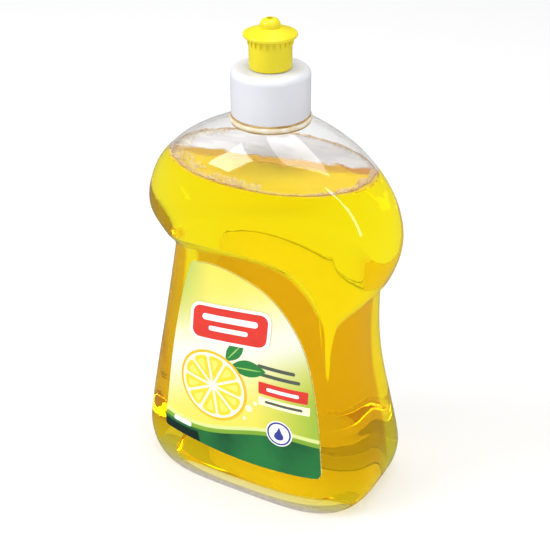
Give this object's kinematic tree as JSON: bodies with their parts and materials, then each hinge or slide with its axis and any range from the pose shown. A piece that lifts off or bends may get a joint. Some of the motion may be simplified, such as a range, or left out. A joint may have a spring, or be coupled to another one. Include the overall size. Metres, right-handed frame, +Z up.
{
  "type": "dish soap bottle",
  "caption": "Clear waisted plastic bottle of yellow dish soap with front and back labels, a white screw closure and a yellow push-pull spout.",
  "frame": {"origin": "centre of the footprint on the surface the bottle stands on", "axes": "+Z up along the neck axis, front label faces -Y, +X to the right of someone facing the front label"},
  "size_m": [0.1007, 0.0566, 0.183],
  "materials": {
    "clear_plastic": "clear gloss",
    "soap": "clear liquid",
    "label_film": "satin print",
    "liner_foam": "matte",
    "white_plastic": "satin",
    "yellow_plastic": "satin"
  },
  "bodies": {
    "bottle": {"bottle": "clear_plastic", "liquid_soap": "soap", "front_label": "label_film", "back_label": "label_film"},
    "cap_liner": {"cap_liner": "liner_foam"},
    "cap": {"screw_cap": "white_plastic"},
    "spout": {"pull_spout": "yellow_plastic"}
  },
  "joints": [
    {"name": "cap_lift", "type": "slide", "parent": "bottle", "child": "cap_liner", "axis": [0, 0, 1], "range_m": [0, 0.0048]},
    {"name": "cap_turn", "type": "hinge", "parent": "cap_liner", "child": "cap", "pos_m": [0, 0, 0.15], "axis": [0, 0, 1], "range_deg": [0, 540]},
    {"name": "spout_pull", "type": "slide", "parent": "cap", "child": "spout", "axis": [0, 0, 1], "range_m": [0, 0.005]}
  ],
  "couplings": [
    {"joint": "cap_lift", "follows": "cap_turn", "m_per_rad": 0.00050531}
  ]
}
